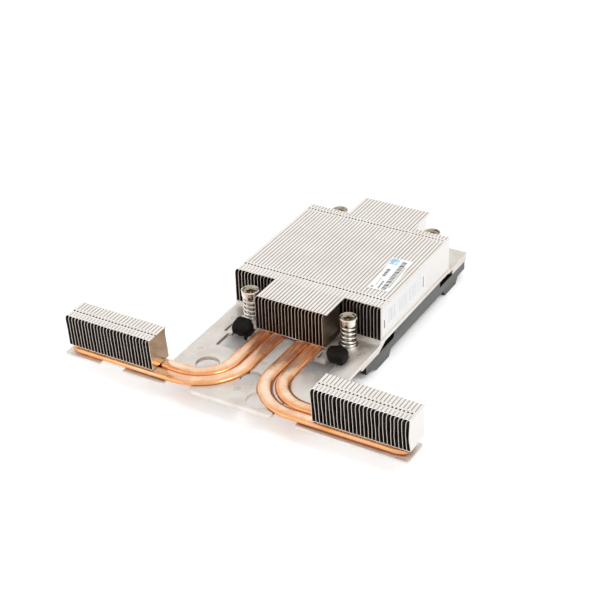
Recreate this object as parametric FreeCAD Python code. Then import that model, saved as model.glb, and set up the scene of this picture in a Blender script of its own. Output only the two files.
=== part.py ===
import FreeCAD, Part
import math
import os

Vec = FreeCAD.Vector

# A processor heatsink for a thin server: a finned block over the processor, and two small finned
# blocks out in the air stream, joined to it by four flattened heat pipes.
#
# X runs across the fins, Y runs along the air flow towards the rear, Z is up.
# The origin is the middle of the four-screw pattern, on the face that touches the processor.
# All sizes are in millimetres.

# Pattern of the four captive screws
screw_pitch_x = 56.0
screw_pitch_y = 94.0

# Copper block over the processor
cold_plate_w = 52.0
cold_plate_l = 62.0
cold_plate_corner_r = 3.0
cold_plate_floor = 3.3

# Heat pipes, flattened from round tube
pipe_w = 7.4
pipe_t = 3.2
pipe_gap = 0.2
pipe_pair_inset = 3.2
pipe_root_y = 30.0
pipe_tip_x = 92.5
pipe_nose_l = 5.0
pipe_nose_w = 3.4
pipe_nose_t = 1.6
outer_bend_r = 25.1
left_inner_bend_r = 17.5
right_inner_bend_r = 20.4
pipe_row_y = -106.4
groove_clearance = 0.15
groove_floor_t = 0.6

# Base plate
plate_w = 84.0
plate_rear_y = 62.0
plate_shoulder_y = -99.2
plate_t = 2.0
plate_corner_r = 1.0
tongue_left_x = -22.0
tongue_right_x = 23.8
tongue_front_y = -115.4
tongue_corner_r = 2.5
platform_front_y = -39.8
platform_rear_y = 39.8
platform_t = 2.4
plate_lap = 1.2
neck_t = 1.2

# Thick pads of the base plate under the screws
pad_t = 4.0
pad_inner_x = 18.5
pad_front_y = -59.2
front_pad_heel_y = -41.6
front_pad_slope_l = 7.0
rear_pad_heel_y = 43.4
pad_rear_y = 60.6
screw_hole_r = 3.1

# Openings in the base plate
window_outer_x = 31.0
window_inner_x = 17.0
window_front_y = -76.6
pocket_w = 9.3
pocket_l = 9.2
opening_corner_r = 0.8
slot_w = 1.3
slot_front_y = -64.0
slot_rear_y = -57.0
slot_offset = 9.0
side_hole_x = -25.2
side_hole_y = -92.6
side_hole_r = 6.0
middle_hole_y = -93.3
middle_hole_r = 5.5
front_hole_x = 12.9
front_hole_y = -106.9
front_hole_r = 6.6

# Fins: sheet with the top edge folded over to the next fin
fin_t = 0.3
fin_pitch = 1.9
fin_h = 19.6
fin_fold_r = 1.3
fold_lap = 0.08
wing_fins = 12
centre_fins = 21
body_front_y = -39.3
body_rear_y = 38.6
centre_front_y = -57.1
centre_rear_y = 58.3

# Remote fin blocks
remote_fins = 27
remote_pitch = 1.92
remote_fin_h = 17.3
remote_depth = 13.5
remote_front_y = -112.1
remote_near_x = 44.1

# Thin plates soldered under the remote pipes
tray_t = 1.2
tray_near_x = 36.5
tray_far_x = 95.0
tray_front_y = -115.4
tray_rear_y = -99.9
tray_notch_near_x = 60.0
tray_notch_far_x = 74.0
tray_notch_d = 3.2

# Captive screws
head_top_r = 4.75
head_foot_r = 4.1
head_h = 4.2
head_bore_r = 3.9
head_bore_d = 1.1
drive_w = 4.4
drive_d = 1.9
shoulder_r = 2.6
thread_r = 2.0
thread_l = 4.7
thread_chamfer = 0.6
ring_r = 4.3
ring_t = 0.6
ring_neck_r = 1.6
ring_clearance = 0.05
ring_mouth_w = 2.6

# Springs and the washers under them
washer_r = 4.9
washer_bore_r = 3.0
washer_t = 0.9
spring_h = 11.4
spring_r = 3.6
spring_wire = 1.1
spring_turns = 5.1
spring_flat_turns = 0.5
spring_steps_per_turn = 14
spring_wire_sides = 6
spring_start_angles = {"front_left": -9.0, "front_right": 49.0, "rear_left": 130.0, "rear_right": 215.0}

# Black plastic frame under the base plate
frame_front_y = -55.0
frame_rear_y = 59.0
frame_rail_t = 3.0
frame_rail_h = 4.7
frame_web_t = 2.2
frame_web_front_l = 15.4
frame_web_rear_l = 19.6
frame_screw_hole_r = 5.2
frame_inner_r = 4.0
rail_high_front_y = -24.4
rail_high_rear_y = 28.0
rail_step_l = 1.4
foot_drop = 3.6
front_foot_start_y = -44.4
front_foot_end_y = -30.8
rear_foot_start_y = 34.4
rear_foot_end_y = 48.0
foot_slope_l = 2.2
rail_toe_drop = 1.0
rail_toe_l = 7.2
post_left_x = -24.35
post_right_x = 29.15
post_y = -60.2
post_r = 4.9
post_h = 4.35
post_over_plate = 0.25
post_chamfer = 1.2
post_stem_w = 3.6
post_stem_l = 2.4
post_stem_x = 1.0
post_stem_y = 2.6
post_arm_w = 4.8

# Paper labels
label_t = 0.15
top_label_w = 11.2
top_label_l = 31.6
top_label_x = 32.1
top_label_y = -9.5
top_label_turn = 4.0
side_label_l = 49.6
side_label_h = 16.6
side_label_front_y = -39.1
side_label_foot = 2.2

# Places that follow from the sizes above
pipe_z = cold_plate_floor
fin_z = pipe_z + pipe_t
plate_z = pipe_z - groove_floor_t
plate_top_z = plate_z + plate_t
neck_z = plate_top_z - neck_t
platform_z = fin_z - platform_t
pad_z = plate_top_z - pad_t
screw_x = screw_pitch_x / 2
screw_y = screw_pitch_y / 2
outer_pipe_x = pipe_pair_inset + pipe_w / 2
inner_pipe_x = outer_pipe_x + pipe_w + pipe_gap
outer_pipe_y = pipe_row_y - (pipe_w + pipe_gap) / 2
inner_pipe_y = pipe_row_y + (pipe_w + pipe_gap) / 2
fin_count = 2 * wing_fins + centre_fins
first_fin_x = -((fin_count - 1) * fin_pitch + fin_t) / 2
spring_z = plate_top_z + washer_t
head_z = spring_z + spring_h
rail_bottom_z = pad_z - frame_rail_h
foot_z = rail_bottom_z - foot_drop


def box(x0, x1, y0, y1, z0, z1):
    """A block between two corners."""
    return Part.makeBox(x1 - x0, y1 - y0, z1 - z0, Vec(x0, y0, z0))


def rounded_outline(points, radii, z):
    """A closed outline through corner points at one height, each corner rounded by its radius."""
    edges = []
    starts = []
    ends = []
    count = len(points)
    for i in range(count):
        here = Vec(points[i][0], points[i][1], z)
        before = Vec(points[i - 1][0], points[i - 1][1], z) - here
        after = Vec(points[(i + 1) % count][0], points[(i + 1) % count][1], z) - here
        before.normalize()
        after.normalize()
        half = before.getAngle(after) / 2
        setback = radii[i] / math.tan(half)
        starts.append(here + before * setback)
        ends.append(here + after * setback)
        if radii[i] > 0:
            bisector = before + after
            bisector.normalize()
            middle = here + bisector * (radii[i] / math.sin(half) - radii[i])
            edges.append(Part.Arc(starts[i], middle, ends[i]).toShape())
    for i in range(count):
        start = ends[i]
        end = starts[(i + 1) % count]
        if start.distanceToPoint(end) > 1e-6:
            edges.append(Part.makeLine(start, end))
    return Part.Wire(Part.__sortEdges__(edges))


def rounded_slab(points, radii, z0, z1):
    """A slab of the rounded outline between two heights."""
    face = Part.Face(rounded_outline(points, radii, z0))
    return face.extrude(Vec(0, 0, z1 - z0))


def rounded_block(x0, x1, y0, y1, z0, z1, radius):
    """A block whose four upright edges are rounded."""
    corners = [(x0, y0), (x1, y0), (x1, y1), (x0, y1)]
    return rounded_slab(corners, [radius] * 4, z0, z1)


def side_profile(points, x0, x1):
    """A solid of a side view outline, given as (y, z) points, between two places across."""
    wire = Part.makePolygon([Vec(x0, y, z) for y, z in points + points[:1]])
    return Part.Face(wire).extrude(Vec(x1 - x0, 0, 0))


def drill(x, y, radius, z0, z1):
    """An upright cylinder, to cut a hole or to add a post."""
    return Part.makeCylinder(radius, z1 - z0, Vec(x, y, z0))


def screw_places():
    """The names and centres of the four captive screws."""
    return {
        "front_left": (-screw_x, -screw_y),
        "front_right": (screw_x, -screw_y),
        "rear_left": (-screw_x, screw_y),
        "rear_right": (screw_x, screw_y),
    }


def pipe_route(side, x, y, bend_r, start_y, end_x):
    """The middle line of a pipe: forward from the block, round one bend, out to one side."""
    bend_centre = Vec(side * (x + bend_r), y + bend_r, 0)
    bend_start = Vec(side * x, y + bend_r, 0)
    bend_end = Vec(side * (x + bend_r), y, 0)
    reach = bend_r * math.sqrt(0.5)
    bend_middle = bend_centre + Vec(-side * reach, -reach, 0)
    return Part.Wire([
        Part.makeLine(Vec(side * x, start_y, 0), bend_start),
        Part.Arc(bend_start, bend_middle, bend_end).toShape(),
        Part.makeLine(bend_end, Vec(side * end_x, y, 0)),
    ])


def flat_oval(width, thickness, centre, across):
    """The section of a flattened pipe: two flats joined by two half rounds."""
    r = thickness / 2
    reach = across * (width / 2 - r)
    edge = across * (width / 2)
    up = Vec(0, 0, r)
    low_a = centre - reach - up
    low_b = centre + reach - up
    high_b = centre + reach + up
    high_a = centre - reach + up
    return Part.Wire([
        Part.makeLine(low_a, low_b),
        Part.Arc(low_b, centre + edge, high_b).toShape(),
        Part.makeLine(high_b, high_a),
        Part.Arc(high_a, centre - edge, low_a).toShape(),
    ])


def pipe_nose(centre, forward, across):
    """The pinched end of a pipe, tapering from its full section."""
    full = flat_oval(pipe_w, pipe_t, centre, across)
    small = flat_oval(pipe_nose_w, pipe_nose_t, centre + forward * pipe_nose_l, across)
    return Part.makeLoft([full, small], True, True)


def heat_pipe(side, x, y, bend_r):
    """One flattened pipe with its bend and its two pinched ends."""
    route = pipe_route(side, x, y, bend_r, pipe_root_y - pipe_nose_l, pipe_tip_x - pipe_nose_l)
    middle_z = pipe_z + pipe_t / 2
    route.translate(Vec(0, 0, middle_z))
    root = Vec(side * x, pipe_root_y - pipe_nose_l, middle_z)
    tip = Vec(side * (pipe_tip_x - pipe_nose_l), y, middle_z)
    section = flat_oval(pipe_w, pipe_t, root, Vec(1, 0, 0))
    tube = route.makePipeShell([section], True, False)
    root_nose = pipe_nose(root, Vec(0, 1, 0), Vec(1, 0, 0))
    tip_nose = pipe_nose(tip, Vec(side, 0, 0), Vec(0, 1, 0))
    return tube.fuse([root_nose, tip_nose]).removeSplitter()


def heat_pipes():
    """The four pipes, by name."""
    return {
        "heat_pipe_left_outer": heat_pipe(-1, outer_pipe_x, outer_pipe_y, outer_bend_r),
        "heat_pipe_left_inner": heat_pipe(-1, inner_pipe_x, inner_pipe_y, left_inner_bend_r),
        "heat_pipe_right_outer": heat_pipe(1, outer_pipe_x, outer_pipe_y, outer_bend_r),
        "heat_pipe_right_inner": heat_pipe(1, inner_pipe_x, inner_pipe_y, right_inner_bend_r),
    }


def pipe_groove(side, x, y, bend_r):
    """The room that a pipe needs in what it lies in, open at the top."""
    end_x = pipe_tip_x
    start_y = pipe_root_y + groove_clearance
    half = pipe_w / 2 + groove_clearance
    top = fin_z + plate_t
    route = pipe_route(side, x, y, bend_r, start_y, end_x)
    route.translate(Vec(0, 0, pipe_z))
    corners = [
        Vec(side * x - half, start_y, pipe_z),
        Vec(side * x + half, start_y, pipe_z),
        Vec(side * x + half, start_y, top),
        Vec(side * x - half, start_y, top),
    ]
    section = Part.makePolygon(corners + corners[:1])
    return route.makePipeShell([section], True, False)


def pipe_grooves():
    """The grooves for all four pipes."""
    return [
        pipe_groove(-1, outer_pipe_x, outer_pipe_y, outer_bend_r),
        pipe_groove(-1, inner_pipe_x, inner_pipe_y, left_inner_bend_r),
        pipe_groove(1, outer_pipe_x, outer_pipe_y, outer_bend_r),
        pipe_groove(1, inner_pipe_x, inner_pipe_y, right_inner_bend_r),
    ]


def plate_outline():
    """The thin plate: a broad body that steps in to a tongue at the front."""
    half = plate_w / 2
    points = [
        (-half, plate_rear_y),
        (-half, plate_shoulder_y),
        (tongue_left_x, plate_shoulder_y),
        (tongue_left_x, tongue_front_y),
        (tongue_right_x, tongue_front_y),
        (tongue_right_x, plate_shoulder_y),
        (half, plate_shoulder_y),
        (half, plate_rear_y),
    ]
    broad = plate_corner_r
    small = tongue_corner_r
    radii = [broad, small, small, small, small, small, small, broad]
    return rounded_slab(points, radii, plate_z, plate_top_z)


def screw_pad(side, rear):
    """The thick part of the plate under one screw, with its step down from the platform."""
    if rear:
        points = [
            (rear_pad_heel_y, pad_z),
            (pad_rear_y, pad_z),
            (pad_rear_y, plate_top_z),
            (platform_rear_y - plate_lap, plate_top_z),
            (platform_rear_y - plate_lap, neck_z),
            (rear_pad_heel_y, neck_z),
        ]
    else:
        slope_end = front_pad_heel_y + front_pad_slope_l
        points = [
            (pad_front_y, pad_z),
            (front_pad_heel_y, pad_z),
            (slope_end, platform_z),
            (slope_end, plate_top_z),
            (pad_front_y, plate_top_z),
        ]
    near, far = sorted([side * pad_inner_x, side * plate_w / 2])
    return side_profile(points, near, far)


def plate_openings():
    """The window, the pocket of the post and the slot beside it, on each side of the plate."""
    top = fin_z
    front = post_y - pocket_l / 2
    rear = post_y + pocket_l / 2
    cuts = []
    for side, post_x in ((-1, post_left_x), (1, post_right_x)):
        low, high = sorted([side * window_inner_x, side * window_outer_x])
        left = post_x - pocket_w / 2
        right = post_x + pocket_w / 2
        slot_x = post_x - slot_offset
        cuts += [
            rounded_block(low, high, window_front_y, front, 0, top, opening_corner_r),
            rounded_block(left, right, front, rear, 0, top, opening_corner_r),
            box(max(left, low), min(right, high),
                front - opening_corner_r, front + opening_corner_r, 0, top),
            box(slot_x - slot_w / 2, slot_x + slot_w / 2, slot_front_y, slot_rear_y, 0, top),
        ]
    return cuts


def base_plate():
    """The cast plate that carries the fins, the pipes and the screws."""
    half = plate_w / 2
    front_edge = platform_front_y + plate_lap
    rear_edge = platform_rear_y - plate_lap
    plate = plate_outline().cut([
        box(-half, half, front_edge, rear_edge, 0, plate_top_z),
        box(-half, half, rear_edge, rear_pad_heel_y, 0, neck_z),
    ])
    pads = [screw_pad(side, rear) for side in (-1, 1) for rear in (False, True)]
    platform = box(-half, half, platform_front_y, platform_rear_y, platform_z, fin_z)
    plate = plate.fuse([platform] + pads)
    cuts = pipe_grooves() + plate_openings()
    for x, y in screw_places().values():
        cuts.append(drill(x, y, screw_hole_r, 0, fin_z))
    cuts.append(drill(side_hole_x, side_hole_y, side_hole_r, 0, fin_z))
    cuts.append(drill(0, middle_hole_y, middle_hole_r, 0, fin_z))
    cuts.append(drill(front_hole_x, front_hole_y, front_hole_r, 0, fin_z))
    return plate.cut(cuts).removeSplitter()


def cold_plate():
    """The copper block, grooved on top for the pipes, flat underneath for the processor."""
    half_w = cold_plate_w / 2
    half_l = cold_plate_l / 2
    block = rounded_block(-half_w, half_w, -half_l, half_l, 0, platform_z, cold_plate_corner_r)
    return block.cut(pipe_grooves()).removeSplitter()


def fold_drop(inset, radius):
    """How far a rounded fold lies below its top at a distance in from its upright face."""
    return radius - math.sqrt(radius ** 2 - (radius - inset) ** 2)


def fold_point(x, top, angle):
    """A point on the outside of a fold, from 0 at its upright face to 90 degrees at its top."""
    a = math.radians(angle)
    return Vec(x + fin_fold_r * (1 - math.cos(a)), 0, top - fin_fold_r * (1 - math.sin(a)))


def fold_touch(drop):
    """The distance in from a fold's upright face where it lies a given drop below its top."""
    return fin_fold_r - math.sqrt(fin_fold_r ** 2 - (fin_fold_r - drop) ** 2)


def fin_gap(x, pitch, z0, z1, last):
    """The gap between two fins: square at the bottom, following both folds at the top."""
    left = x + fin_t
    right = x + pitch
    low = z0 + fin_t
    high = z1 - fin_t
    fold_z = z1 - fin_fold_r
    inner_r = fin_fold_r - fin_t
    inner_middle = Vec(left + inner_r * (1 - math.sqrt(0.5)), 0, high - inner_r * (1 - math.sqrt(0.5)))
    edges = [Part.makeLine(Vec(left, 0, low), Vec(right, 0, low))]
    if last:
        corner = Vec(right, 0, high)
        edges.append(Part.makeLine(Vec(right, 0, low), corner))
    else:
        corner = Vec(right + fold_touch(fin_t), 0, high)
        half_angle = math.degrees(math.asin((fin_fold_r - fin_t) / fin_fold_r)) / 2
        edges.append(Part.makeLine(Vec(right, 0, low), Vec(right, 0, fold_z)))
        edges.append(Part.Arc(
            Vec(right, 0, fold_z), fold_point(right, z1, half_angle), corner).toShape())
    edges.append(Part.makeLine(corner, Vec(x + fin_fold_r, 0, high)))
    edges.append(Part.Arc(
        Vec(x + fin_fold_r, 0, high), inner_middle, Vec(left, 0, fold_z)).toShape())
    edges.append(Part.makeLine(Vec(left, 0, fold_z), Vec(left, 0, low)))
    return Part.Wire(edges)


def fin_block(first_x, count, pitch, z0, height, y0, y1, end_plate):
    """A stack of folded fins soldered into one block, drawn from the front and run along Y.

    Each fold's flange runs on to the next fin's fold. The last fin is a plain end plate, or it
    carries free flanges that reach the next block.
    """
    z1 = z0 + height
    lap = fold_touch(fin_t) + fold_lap
    lap_z = z1 - fold_drop(lap, fin_fold_r)
    lap_angle = math.degrees(math.acos(1 - lap / fin_fold_r))
    last_x = first_x + (count - 1) * pitch
    inner_r = fin_fold_r - fin_t
    points = []
    edges = []

    def line_to(x, z):
        point = Vec(x, 0, z)
        if points:
            edges.append(Part.makeLine(points[-1], point))
        points.append(point)

    def arc_to(middle, x, z):
        point = Vec(x, 0, z)
        edges.append(Part.Arc(points[-1], middle, point).toShape())
        points.append(point)

    line_to(first_x, z0)
    if end_plate:
        line_to(last_x + fin_t, z0)
        line_to(last_x + fin_t, z1)
        folded = count - 1
    else:
        flange_x = last_x + pitch
        left = last_x + fin_t
        line_to(flange_x, z0)
        line_to(flange_x, z0 + fin_t)
        line_to(left, z0 + fin_t)
        line_to(left, z1 - fin_fold_r)
        middle = Vec(left + inner_r * (1 - math.sqrt(0.5)), 0,
                     z1 - fin_t - inner_r * (1 - math.sqrt(0.5)))
        arc_to(middle, last_x + fin_fold_r, z1 - fin_t)
        line_to(flange_x + fold_touch(fin_t), z1 - fin_t)
        line_to(flange_x + fold_touch(fin_t), z1)
        folded = count
    for i in range(folded - 1, 0, -1):
        x = first_x + i * pitch
        line_to(x + fin_fold_r, z1)
        arc_to(fold_point(x, z1, (90 + lap_angle) / 2), x + lap, lap_z)
        line_to(x + lap, z1)
    line_to(first_x + fin_fold_r, z1)
    arc_to(fold_point(first_x, z1, 45), first_x, z1 - fin_fold_r)
    edges.append(Part.makeLine(points[-1], points[0]))
    outline = Part.Wire(edges)
    gaps = []
    for i in range(count - 1):
        plain = end_plate and i == count - 2
        gaps.append(fin_gap(first_x + i * pitch, pitch, z0, z1, plain))
    face = Part.makeFace([outline] + gaps, "Part::FaceMakerBullseye")
    face.translate(Vec(0, y0, 0))
    return face.extrude(Vec(0, y1 - y0, 0))


def main_fins():
    """The three fin blocks over the processor, which together make a plus in plan."""
    centre_x = first_fin_x + wing_fins * fin_pitch
    right_x = centre_x + centre_fins * fin_pitch
    return {
        "fins_left_wing": fin_block(
            first_fin_x, wing_fins, fin_pitch, fin_z, fin_h, body_front_y, body_rear_y, False),
        "fins_centre": fin_block(
            centre_x, centre_fins, fin_pitch, fin_z, fin_h, centre_front_y, centre_rear_y, False),
        "fins_right_wing": fin_block(
            right_x, wing_fins, fin_pitch, fin_z, fin_h, body_front_y, body_rear_y, True),
    }


def remote_fins_blocks():
    """The two small fin blocks on the pipes' far ends."""
    width = (remote_fins - 1) * remote_pitch + fin_t
    rear_y = remote_front_y + remote_depth
    blocks = {}
    for name, x in (("left", -remote_near_x - width), ("right", remote_near_x)):
        blocks["fins_remote_" + name] = fin_block(
            x, remote_fins, remote_pitch, fin_z, remote_fin_h, remote_front_y, rear_y, True)
    return blocks


def tray(side, notched):
    """The thin plate under the far ends of two pipes."""
    near, far = sorted([side * tray_near_x, side * tray_far_x])
    plate = rounded_block(near, far, tray_front_y, tray_rear_y, pipe_z - tray_t, pipe_z, 1.5)
    if notched:
        low, high = sorted([side * tray_notch_near_x, side * tray_notch_far_x])
        notch_rear = tray_front_y + tray_notch_d
        plate = plate.cut(box(low, high, tray_front_y - 1, notch_rear, 0, fin_z))
    return plate


def ring_z():
    """The underside of a retaining ring, which bears up on the pad."""
    return pad_z - ring_t


def captive_screw(x, y):
    """A screw with a cupped head, a long shoulder for the spring and a short thread."""
    top = head_z + head_h
    shoulder_foot = pad_z
    neck_foot = ring_z()
    tip = neck_foot - thread_l
    outline = [
        (0, tip),
        (thread_r - thread_chamfer, tip),
        (thread_r, tip + thread_chamfer),
        (thread_r, neck_foot),
        (ring_neck_r, neck_foot),
        (ring_neck_r, shoulder_foot),
        (shoulder_r, shoulder_foot),
        (shoulder_r, head_z),
        (head_foot_r, head_z),
        (head_top_r, top),
        (head_bore_r, top),
        (head_bore_r, top - head_bore_d),
        (0, top - head_bore_d),
    ]
    wire = Part.makePolygon([Vec(r, 0, z) for r, z in outline + outline[:1]])
    screw = Part.Face(wire).revolve(Vec(0, 0, 0), Vec(0, 0, 1), 360)
    floor = top - head_bore_d
    drive_corner_r = drive_w / 2 / math.cos(math.pi / 6)
    corners = []
    for i in range(6):
        a = math.pi * i / 3
        corners.append(
            Vec(drive_corner_r * math.cos(a), drive_corner_r * math.sin(a), floor - drive_d))
    drive = Part.Face(Part.makePolygon(corners + corners[:1])).extrude(Vec(0, 0, drive_d))
    screw = screw.cut(drive)
    screw.translate(Vec(x, y, 0))
    return screw


def retaining_ring(x, y):
    """The open ring in the screw's neck, which keeps the screw in the plate."""
    z = ring_z()
    bore = ring_neck_r + ring_clearance
    ring = drill(x, y, ring_r, z, z + ring_t).cut(drill(x, y, bore, z, z + ring_t))
    mouth = box(x - ring_mouth_w / 2, x + ring_mouth_w / 2, y, y + 2 * ring_r, z, z + ring_t)
    return ring.cut(mouth)


def washer(x, y):
    """The flat washer between the spring and the plate."""
    top = plate_top_z + washer_t
    disc = drill(x, y, washer_r, plate_top_z, top)
    return disc.cut(drill(x, y, washer_bore_r, plate_top_z, top))


def wire_section(x, y, a, z):
    """The section of the spring wire at an angle round the spring, as a regular polygon."""
    radius = spring_wire / 2 / math.cos(math.pi / spring_wire_sides)
    corners = []
    for i in range(spring_wire_sides):
        b = 2 * math.pi * i / spring_wire_sides
        r = spring_r + radius * math.cos(b)
        corners.append(Vec(x + r * math.cos(a), y + r * math.sin(a), z + radius * math.sin(b)))
    return Part.makePolygon(corners + corners[:1])


def spring(x, y, start_angle):
    """A left-hand compression spring: two flat end turns and an even rise between them."""
    low = spring_z + spring_wire / 2
    rise = spring_h - spring_wire
    rising_turns = spring_turns - 2 * spring_flat_turns
    steps = round(spring_turns * spring_steps_per_turn)
    sections = []
    for i in range(steps + 1):
        turn = spring_turns * i / steps
        share = (turn - spring_flat_turns) / rising_turns
        z = low + rise * min(max(share, 0), 1)
        sections.append(wire_section(x, y, math.radians(start_angle) - 2 * math.pi * turn, z))
    return Part.makeLoft(sections, True, True)


def rail_outline():
    """The side view of one rail of the frame, with its raised middle and its two feet."""
    toe_z = rail_bottom_z - rail_toe_drop
    toe_end = frame_front_y + rail_toe_l
    return [
        (frame_front_y, pad_z),
        (rail_high_front_y - rail_step_l, pad_z),
        (rail_high_front_y, platform_z),
        (rail_high_rear_y, platform_z),
        (rail_high_rear_y, pad_z),
        (frame_rear_y, pad_z),
        (frame_rear_y, rail_bottom_z),
        (rear_foot_end_y + foot_slope_l, rail_bottom_z),
        (rear_foot_end_y, foot_z),
        (rear_foot_start_y, foot_z),
        (rear_foot_start_y - foot_slope_l, rail_bottom_z),
        (front_foot_end_y + foot_slope_l, rail_bottom_z),
        (front_foot_end_y, foot_z),
        (front_foot_start_y, foot_z),
        (toe_end, toe_z),
        (frame_front_y, rail_bottom_z),
    ]


def post(x, web_z):
    """A post of the frame: an arm under the plate, a stem up its pocket and a broad head on top."""
    head_foot = plate_top_z + post_over_plate
    top = head_foot + post_h
    small_r = post_r - post_chamfer
    head = drill(x, post_y, post_r, head_foot, top - post_chamfer)
    crown = Part.makeCone(post_r, small_r, post_chamfer, Vec(x, post_y, top - post_chamfer))
    stem_x = x + post_stem_x
    stem_y = post_y + post_stem_y
    stem = box(
        stem_x - post_stem_w / 2, stem_x + post_stem_w / 2,
        stem_y - post_stem_l / 2, stem_y + post_stem_l / 2, web_z, head_foot + post_h / 4)
    arm = box(
        stem_x - post_arm_w / 2, stem_x + post_arm_w / 2,
        stem_y - post_stem_l / 2, frame_front_y + frame_rail_t, web_z, pad_z)
    return [head, crown, stem, arm]


def under_frame():
    """The moulded frame round the processor, with its rails, its feet and its two posts."""
    half = plate_w / 2
    web_z = pad_z - frame_web_t
    ring = box(-half, half, frame_front_y, frame_rear_y, web_z, pad_z)
    ring = ring.cut(rounded_block(
        -half + frame_rail_t, half - frame_rail_t,
        frame_front_y + frame_web_front_l, frame_rear_y - frame_web_rear_l,
        web_z, pad_z, frame_inner_r))
    parts = []
    for side in (-1, 1):
        near, far = sorted([side * half, side * (half - frame_rail_t)])
        parts.append(side_profile(rail_outline(), near, far))
    for x in (post_left_x, post_right_x):
        parts += post(x, web_z)
    frame = ring.fuse(parts)
    holes = [drill(x, y, frame_screw_hole_r, web_z, pad_z) for x, y in screw_places().values()]
    return frame.cut(holes).removeSplitter()


def labels():
    """The two blank paper labels, one on the fins' top and one on the side."""
    top = fin_z + fin_h
    side_x = -first_fin_x
    foot = fin_z + side_label_foot
    top_label = box(
        -top_label_w / 2, top_label_w / 2, -top_label_l / 2, top_label_l / 2, top, top + label_t)
    top_label.rotate(Vec(0, 0, 0), Vec(0, 0, 1), top_label_turn)
    top_label.translate(Vec(top_label_x, top_label_y, 0))
    return {
        "label_top": top_label,
        "label_side": box(
            side_x, side_x + label_t,
            side_label_front_y, side_label_front_y + side_label_l,
            foot, foot + side_label_h),
    }


def all_parts():
    """Every piece by its node name."""
    parts = {"base_plate": base_plate(), "cold_plate": cold_plate(), "under_frame": under_frame()}
    parts.update(heat_pipes())
    parts.update(main_fins())
    parts.update(remote_fins_blocks())
    parts["tray_left"] = tray(-1, True)
    parts["tray_right"] = tray(1, False)
    parts.update(labels())
    for name, (x, y) in screw_places().items():
        parts["screw_" + name] = captive_screw(x, y)
        parts["ring_" + name] = retaining_ring(x, y)
        parts["washer_" + name] = washer(x, y)
        parts["spring_" + name] = spring(x, y, spring_start_angles[name])
    return parts


def main():
    os.makedirs("parts", exist_ok=True)
    for name, shape in all_parts().items():
        if shape.ShapeType == "Compound" and len(shape.Solids) == 1:
            shape = shape.Solids[0]
        shape.exportStep("parts/" + name + ".step")
        print(name, shape.ShapeType, len(shape.Solids), shape.isValid(), round(shape.Volume, 1))


main()
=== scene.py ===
import math
import random

import bmesh
import bpy
from mathutils import Matrix, Vector, noise


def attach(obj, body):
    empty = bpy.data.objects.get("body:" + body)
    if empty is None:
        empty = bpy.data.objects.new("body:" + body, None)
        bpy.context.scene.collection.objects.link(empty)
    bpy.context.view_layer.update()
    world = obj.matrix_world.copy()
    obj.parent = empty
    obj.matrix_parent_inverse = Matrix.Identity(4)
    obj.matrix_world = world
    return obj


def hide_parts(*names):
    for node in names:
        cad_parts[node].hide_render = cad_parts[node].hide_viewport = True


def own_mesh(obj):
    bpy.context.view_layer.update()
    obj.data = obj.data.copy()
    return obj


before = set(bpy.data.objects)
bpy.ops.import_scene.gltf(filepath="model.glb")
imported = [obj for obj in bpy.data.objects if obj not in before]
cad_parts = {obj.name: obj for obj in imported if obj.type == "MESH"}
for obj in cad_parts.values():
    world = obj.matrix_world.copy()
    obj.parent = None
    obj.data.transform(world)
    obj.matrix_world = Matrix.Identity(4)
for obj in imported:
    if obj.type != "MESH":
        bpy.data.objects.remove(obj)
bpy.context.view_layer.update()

# Lengths below are in millimetres, and MM turns them into the scene's metres.
MM = 0.001
BODY = "heatsink"
CORNERS = {
    "front_left": (-28.0, -47.0),
    "front_right": (28.0, -47.0),
    "rear_left": (-28.0, 47.0),
    "rear_right": (28.0, 47.0),
}
GROUND_Z = -7.6

# Camera, solved from the photograph, with its angles in degrees
FOCAL_PX = 1491.3
IMAGE_PX = 600.0
SENSOR_MM = 36.0
CAMERA_AZIMUTH = 31.16
CAMERA_ELEVATION = 31.84
CAMERA_ROLL = -2.17
CAMERA_TARGET = (-6.99, -33.76, 13.5)
CAMERA_DISTANCE = 755.2
CAMERA_CLIP = 10.0

# Fin blocks
FIN_T = 0.3
FIN_PITCH = 1.9
FIN_Z = 6.5
FIN_TOP = 26.1
FIRST_FIN_X = -41.95
WING_FINS = 12
WING_FRONT_Y = -39.3
WING_REAR_Y = 38.6
CENTRE_FINS = 21
CENTRE_FRONT_Y = -57.1
CENTRE_REAR_Y = 58.3
MAIN_NOTCHES = (-32.6, 33.4)
REMOTE_FINS = 27
REMOTE_PITCH = 1.92
REMOTE_TOP = 23.8
REMOTE_NEAR_X = 44.1
REMOTE_FRONT_Y = -112.1
REMOTE_REAR_Y = -98.6
REMOTE_NOTCHES = (-107.2,)

# One fin: its foot, its fold, the flange that laps the next fin, and the interlock's tabs
FOOT_R = 0.45
FOOT_EASE = 0.1
FOOT_STEPS = 3
UPRIGHT_STEPS = 5
FOLD_W = 1.85
FOLD_H = 3.1
FOLD_STEPS = 8
FLANGE_LAP = 1.2
NOTCH_L = 1.3
NOTCH_DEPTH = 1.8
NOTCH_X0 = 0.3
NOTCH_X1 = 1.5
TAB_L = 3.2
TAB_LAP = 1.75
TAB_PLAY = 0.2
END_PLATE_RISE = 0.4
END_PLATE_STEPS = 7
EDGE_ROWS = (0.35, 0.8, 1.3)

# How the fins differ from each other
FIN_SLIP = 0.12
FIN_DROP = 0.05
RIPPLE_PHASES = 40
RIPPLE_WAVES_Y = 0.11
RIPPLE_WAVES_Z = 0.13
SLANT = 0.9
SLANT_DEPTH = 0.6
SLANT_X = 0.9
SLANT_W = 1.6

# How far a face is shut in between fins, from 0 in the open to 1, which sets the painted shade
# between them
SHUT_AT_EDGE = 0.66
SHUT_FADE = 1.5
SHUT_BESIDE_BLOCK = 0.6
BESIDE_BLOCK_Y = -38.0

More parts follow.
